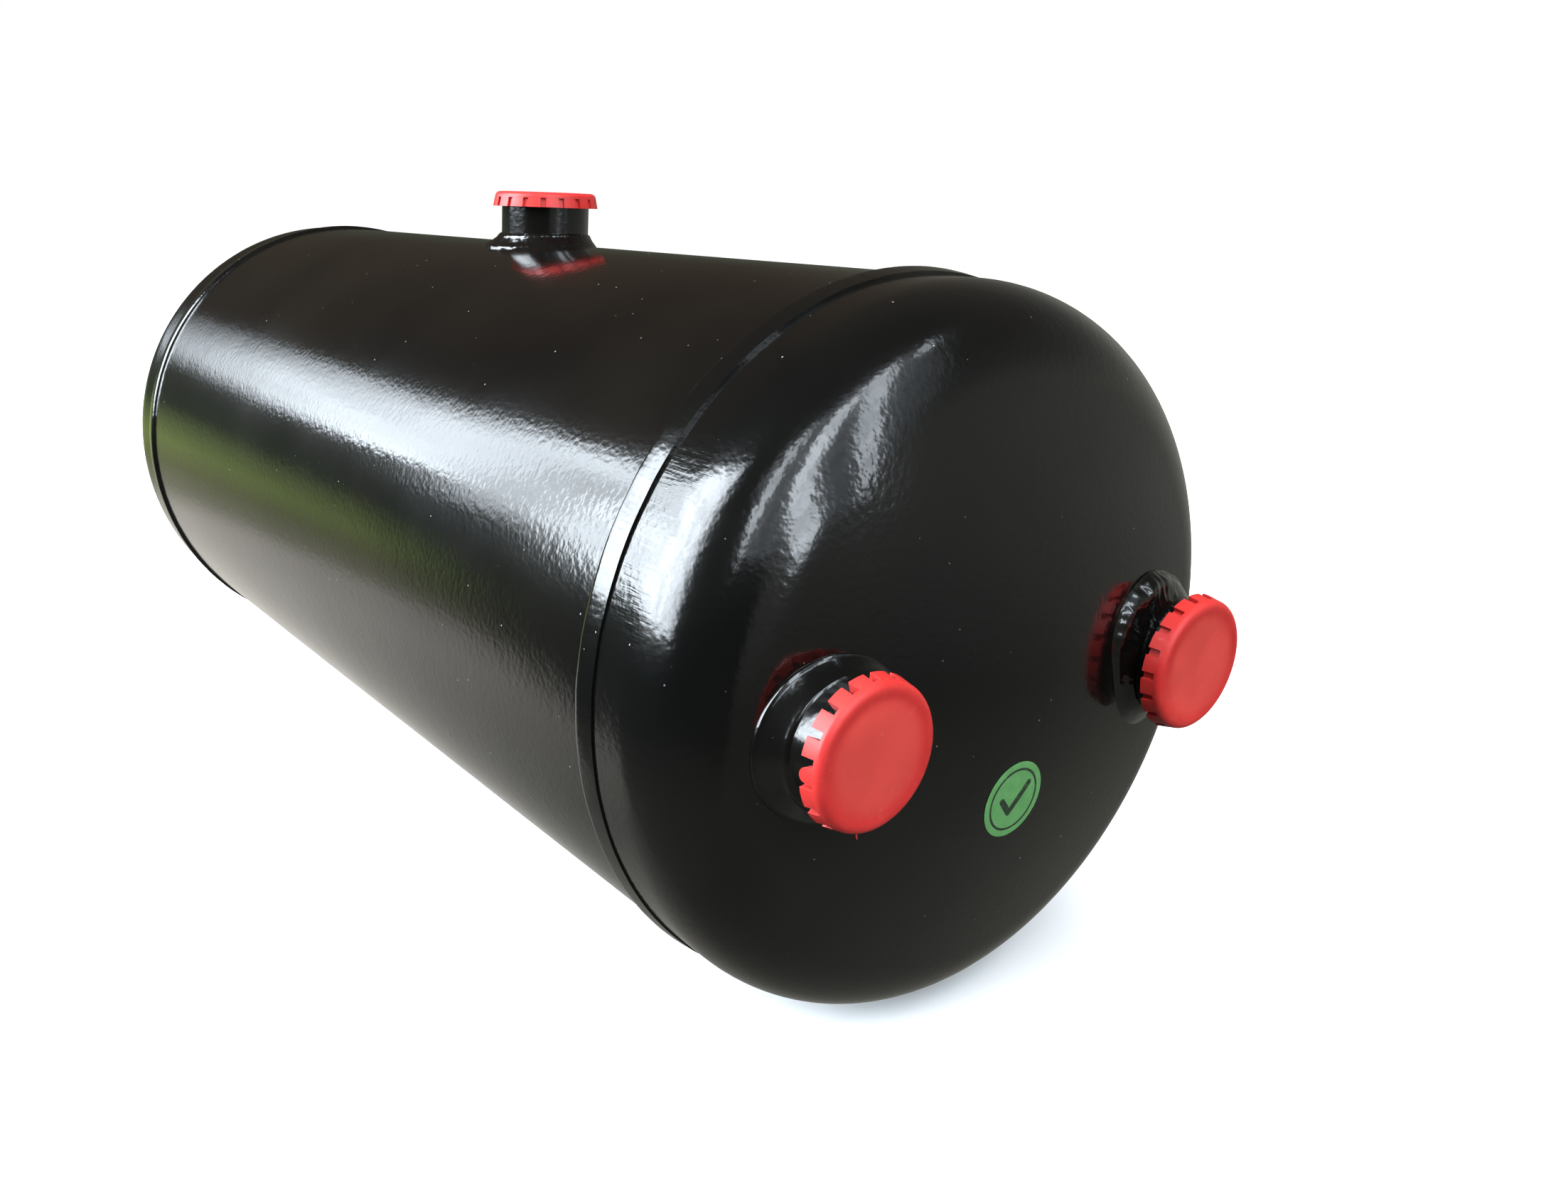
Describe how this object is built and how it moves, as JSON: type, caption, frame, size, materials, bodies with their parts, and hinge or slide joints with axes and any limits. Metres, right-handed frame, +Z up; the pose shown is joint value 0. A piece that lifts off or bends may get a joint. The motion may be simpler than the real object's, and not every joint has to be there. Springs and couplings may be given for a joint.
{
  "type": "horizontal pressure tank",
  "caption": "Horizontal steel pressure tank: rolled shell, dished heads, raised girth welds and capped threaded bosses on top and on one end.",
  "frame": {"origin": "on the ground under the middle of the whole object, level with the low spots of the two girth welds that it rests on", "axes": "+X along the tank and out of the head with two ports, +Z up along the top port, +Y to the right as that head is faced"},
  "size_m": [0.5924, 0.2508, 0.2712],
  "materials": {
    "black_paint": "gloss",
    "red_cap": "satin",
    "green_sticker": "matte"
  },
  "bodies": {
    "tank": {"shell": "black_paint", "front_head": "black_paint", "rear_head": "black_paint", "front_girth_weld": "black_paint", "rear_girth_weld": "black_paint", "shell_seam_weld": "black_paint", "top_boss": "black_paint", "top_boss_weld": "black_paint", "left_boss": "black_paint", "left_boss_weld": "black_paint", "right_boss": "black_paint", "right_boss_weld": "black_paint", "inspection_sticker": "green_sticker"},
    "top_cap": {"top_cap": "red_cap"},
    "left_cap": {"left_cap": "red_cap"},
    "right_cap": {"right_cap": "red_cap"}
  },
  "joints": [
    {"name": "top_cap_pull", "type": "slide", "parent": "tank", "child": "top_cap", "axis": [0, 0, 1], "range_m": [0, 0.04]},
    {"name": "left_cap_pull", "type": "slide", "parent": "tank", "child": "left_cap", "axis": [1, 0, 0], "range_m": [0, 0.04]},
    {"name": "right_cap_pull", "type": "slide", "parent": "tank", "child": "right_cap", "axis": [1, 0, 0], "range_m": [0, 0.04]}
  ]
}
